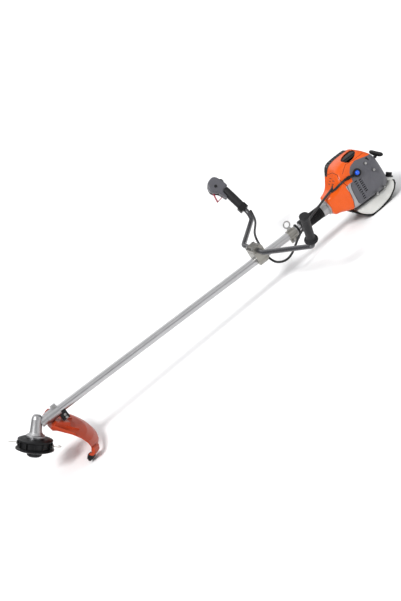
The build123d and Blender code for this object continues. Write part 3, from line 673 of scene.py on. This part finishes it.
def starter_grip():
    """Rounded pull handle over the plain one."""
    cross = ROPE_AXIS.cross(SHAFT_U).normalized()
    base = ROPE_EXIT + ROPE_AXIS * 0.0186
    across = (SHAFT_U * 0.94 + cross * 0.34).normalized()
    deep = ROPE_AXIS.cross(across).normalized()
    rings = 30
    sides = 24
    half = 0.031
    points = []
    for ring in range(rings + 1):
        x = -half + 2 * half * ring / rings
        t = abs(x) / half
        fat = 0.0078 * math.sqrt(max(0.0, 1 - t ** 5)) + 0.0002
        middle = base + across * x + ROPE_AXIS * (0.0018 * t * t)
        for n in range(sides):
            angle = 2 * math.pi * n / sides
            points.append(middle + ROPE_AXIS * math.cos(angle) * fat + deep * math.sin(angle) * fat * 1.15)
    grip = tool("pull_handle", points, tube_faces(rings + 1, sides))
    fix_normals(grip)
    stem = bar_tool("stem", ROPE_EXIT + ROPE_AXIS * 0.003, base, 0.006)
    grip = joined([grip, stem])
    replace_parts(settle(grip, "black_nylon", "starter"), "starter_handle")


def turned_skin(name, origin, axis, profile, flute_depth, flutes, sides, stretch):
    """Closed skin of revolution, with flutes on one stretch of its axis."""
    side = axis.orthogonal().normalized()
    other = axis.cross(side)
    points = []
    for along, radius in profile:
        for n in range(sides):
            angle = 2 * math.pi * n / sides
            cut = 0.0
            if stretch[0] < along < stretch[1]:
                cut = flute_depth * max(0.0, math.cos(flutes * angle)) ** 0.5
            fat = (radius - cut) * 0.001
            outward = side * math.cos(angle) + other * math.sin(angle)
            points.append(origin + axis * along * 0.001 + outward * fat)
    faces = []
    rings = len(profile)
    for ring in range(rings):
        below = ring * sides
        above = (ring + 1) % rings * sides
        for n in range(sides):
            after = (n + 1) % sides
            faces.append((below + n, below + after, above + after, above + n))
    skin = tool(name, points, faces)
    fix_normals(skin)
    return skin


def vibration_sleeve():
    """Fluted rubber sleeve between the tube and the clutch housing."""
    low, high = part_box("av_sleeve")
    length = (high.x - low.x) * 1000
    radius = (high.y - low.y) * 500
    front = Vector((low.x, 0, 0))
    reach = (front - SHAFT_ORIGIN).dot(SHAFT_S) * 1000 + 2.4
    bore = 14.4
    profile = [(0, bore), (0, radius - 1.5), (1.5, radius), (7, radius), (8, radius - 0.1)]
    profile += [(8.1 + n * (length - 20) / 30, radius) for n in range(31)]
    profile += [(length - 11.5, radius), (length - 5.5, radius)]
    profile += [(length - 4.5, radius - 1.5), (length - 4.5, bore)]
    skin = turned_skin("sleeve_skin", place(reach, 0, 0), SHAFT_S, profile, 2.2, 26, 208, (9, length - 12.5))
    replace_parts(settle(skin, "black_nylon", "root"), "av_sleeve")


# ---- fuel tank ----
TANK_SIDE = [(349, -50.5), (472, -50.5), (495, -41), (503, -33), (516, -44), (512.5, -58), (500, -72),
             (472, -88), (430, -97), (394, -99), (376, -89), (354, -68)]
TANK_CURVE = rounded_outline(TANK_SIDE, 2)
TANK_MIDDLE = (455, -30, -76)


def tank_field(inset):
    """Field of the tank: its side outline, its width and the step under the filler neck."""
    def field(s, u, w):
        side = outline_distance(TANK_CURVE, s, w)
        width = np.abs(u + 4) - 64
        lift = np.maximum(np.maximum(489 - s, -21 - u), -66 - w)
        return rounded_meet([side, width, -lift], 9.0) + inset
    return field


def fuel_tank():
    """Hollow tank with its filler neck and mouth."""
    tank = star_solid("tank_skin", TANK_MIDDLE, tank_field(0.0), 110, 150, 200.0)
    carve(tank, star_solid("tank_hollow", TANK_MIDDLE, tank_field(3.0), 90, 120, 200.0))
    cap = Vector(JOINTS["cap_turn"]["axis"])
    base = Vector(JOINTS["cap_turn"]["pos_m"])
    neck = bar_tool("neck", base + cap * 0.002, base + cap * 0.014, 0.014)
    carve(tank, neck, "UNION")
    carve(tank, bar_tool("mouth", base - cap * 0.008, base + cap * 0.022, 0.0105))
    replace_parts(settle(tank, "tank_white", "root"), "fuel_tank")


# ---- throttle housing, in the right grip's frame ----
TRIGGER_PIVOT = Vector(JOINTS["trigger_squeeze"]["pos_m"])
RIGHT_X = Vector(JOINTS["lockout_press"]["axis"])
RIGHT_Y = Vector(JOINTS["trigger_squeeze"]["axis"])
RIGHT_Z = RIGHT_X.cross(RIGHT_Y)
THROTTLE_SIDE = [(-16.5, 139.5), (-16, 156), (-14, 172), (-8, 194), (4, 203), (28, 199), (42, 184),
                 (46, 166), (41, 154), (30, 147), (24, 128), (21.5, 112), (12.5, 110), (12.5, 139.5)]
THROTTLE_CURVE = rounded_outline(THROTTLE_SIDE, 2)


def on_grip(x, y, z):
    """Point of the right grip's frame in the row frame: z up the grip, x to the front."""
    return TRIGGER_PIVOT + (RIGHT_X * (x - 35) + RIGHT_Y * y + RIGHT_Z * (z - 170)) * 0.001


def housing_field(inset):
    """Field of the control housing: its side outline and its width."""
    def field(x, y, z):
        return rounded_meet([outline_distance(THROTTLE_CURVE, x, z), np.abs(y) - 19], 7.0) + inset
    return field


def throttle_housing():
    """Control housing as two smooth halves with a seam between them."""
    centre = (16, 0, 168)
    whole = star_solid("throttle_skin", centre, housing_field(0.0), 110, 140, 120.0, on_grip)
    carve(whole, star_solid("hollow", centre, housing_field(2.6), 80, 100, 120.0, on_grip))
    carve(whole, bar_tool("bar_hole", on_grip(0, 0, 130), on_grip(0, 0, 170), 0.00855))
    carve(whole, slab("pocket", (9, -3.6, 106), (32, 3.6, 136), on_grip))
    carve(whole, slab("finger_gap", (24, -6.6, 140), (60, 6.6, 170), on_grip))
    carve(whole, slab("lock_gap", (-30, -5.3, 158.5), (-8, 5.3, 181.5), on_grip))
    carve(whole, bar_tool("switch_hole", on_grip(18, 10, 168), on_grip(18, 30, 168), 0.0053))
    carve(whole, slab("seam", (-40, -0.25, 100), (80, 0.25, 220), on_grip))
    settle(whole, "cover_grey", "root")
    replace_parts(whole, "throttle_shell_left", "throttle_shell_right")
    screws = []
    for x, z in ((-6, 186), (34, 190), (20, 150)):
        screws.append(bar_tool("screw", on_grip(x, -19.2, z), on_grip(x, -16.5, z), 0.0028, 24))
    heads = joined(screws)
    heads.name = "throttle_screws"
    settle(heads, "zinc_steel", "root")


# ---- cords ----
CABLE_ROUTE = [
    (120, 262, 68), (114, 244, 53), (101, 206, 47), (80, 160, 48), (57, 112, 53), (37, 68, 56), (24, 37, 46),
    (20, 25, 20), (19, 22, -7), (20, 5, -28), (24, -17, -40), (36, -34, -46), (54, -43, -49), (75, -44, -45),
    (97, -40, -35), (118, -34, -23), (139, -29, -12), (160, -26, -4), (185, -26, 6), (212, -26, 16),
    (240, -28, 26), (266, -31, 35), (292, -33, 44), (314, -35, 51), (332, -37, 58),
]


def throttle_cable():
    """Cable from the control housing to the cowl, loose before the clamp."""
    curve = bpy.data.curves.new("throttle_conduit", "CURVE")
    curve.dimensions = "3D"
    curve.bevel_depth = 0.004
    curve.bevel_resolution = 6
    curve.resolution_u = 12
    curve.use_fill_caps = True
    spline = curve.splines.new("NURBS")
    spline.points.add(len(CABLE_ROUTE) - 1)
    for point, (s, u, w) in zip(spline.points, CABLE_ROUTE):
        point.co = (*place(s, u, w), 1)
    spline.order_u = 3
    spline.use_endpoint_u = True
    cable = bpy.data.objects.new("throttle_conduit", curve)
    bpy.context.scene.collection.objects.link(cable)
    cable.data.materials.append(MATERIALS["cable_black"])
    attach(cable, "root")
    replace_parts(cable, "throttle_cable")


def starter_rope():
    """Rope between the cover and the handle, as a straight tube."""
    start = ROPE_EXIT - ROPE_AXIS * 0.014
    end = ROPE_EXIT + ROPE_AXIS * 0.006
    side = ROPE_AXIS.orthogonal().normalized()
    other = ROPE_AXIS.cross(side)
    rings = 24
    sides = 16
    points = []
    for ring in range(rings + 1):
        points += circle(start.lerp(end, ring / rings), side, other, ROPE_RADIUS, sides)
    rope = tool("pull_rope", points, tube_faces(rings + 1, sides))
    settle(rope, "rope_cord", None)
    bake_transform(rope)
    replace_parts(rope, "starter_rope")


# ---- floor and light: the suns' names, where they shine from, strength and spread in degrees ----
SUNS = [("key", (-1.9, -1.6, 3.2), 2.3, 18), ("fill", (2.4, -2.8, 2.6), 0.45, 60),
        ("rear", (0.4, 2.6, 2.6), 0.7, 60)]


def studio():
    """Near-white floor under soft, broad light."""
    floor = tool("floor", [(-30, -30, 0), (30, -30, 0), (30, 30, 0), (-30, 30, 0)], [(0, 1, 2, 3)])
    material, nodes, links, shader = node_tree("paper_floor")
    grain = texture_noise(nodes, links, 3, 2)
    links.new(tinted(nodes, links, grain.outputs["Fac"], (0.95, 0.95, 0.95), (0.93, 0.93, 0.93), 0.5),
              shader.inputs["Base Color"])
    shader.inputs["Roughness"].default_value = 0.9
    floor.data.materials.append(material)
    world = bpy.data.worlds.new("studio")
    bpy.context.scene.world = world
    world.use_nodes = True
    nodes = world.node_tree.nodes
    links = world.node_tree.links
    coords = nodes.new("ShaderNodeTexCoord")
    split = nodes.new("ShaderNodeSeparateXYZ")
    ramp = nodes.new("ShaderNodeValToRGB")
    ramp.color_ramp.elements[0].position = 0.0
    ramp.color_ramp.elements[0].color = (0.10, 0.10, 0.11, 1)
    ramp.color_ramp.elements[1].position = 0.75
    ramp.color_ramp.elements[1].color = (0.60, 0.60, 0.61, 1)
    links.new(coords.outputs["Generated"], split.inputs["Vector"])
    links.new(split.outputs["Z"], ramp.inputs["Fac"])
    links.new(ramp.outputs["Color"], nodes["Background"].inputs["Color"])
    for name, spot, strength, spread in SUNS:
        lamp = bpy.data.objects.new(name, bpy.data.lights.new(name, "SUN"))
        lamp.data.energy = strength
        lamp.data.angle = math.radians(spread)
        lamp.location = spot
        lamp.rotation_mode = "QUATERNION"
        lamp.rotation_quaternion = (-Vector(spot)).to_track_quat("-Z", "Y")
        bpy.context.scene.collection.objects.link(lamp)


throttle_cable()
dress_cad_nodes()
casting = joined([engine_covers()] + crankcase_inside())
casting.name = "crankcase_skin"
settle(casting, "cast_alloy", "root")
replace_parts(casting, "crankcase")
vibration_sleeve()
far_panel()
roof_grille()
cowl_details()
cover_extras()
starter_grip()
fuel_tank()
throttle_housing()
starter_rope()
studio()
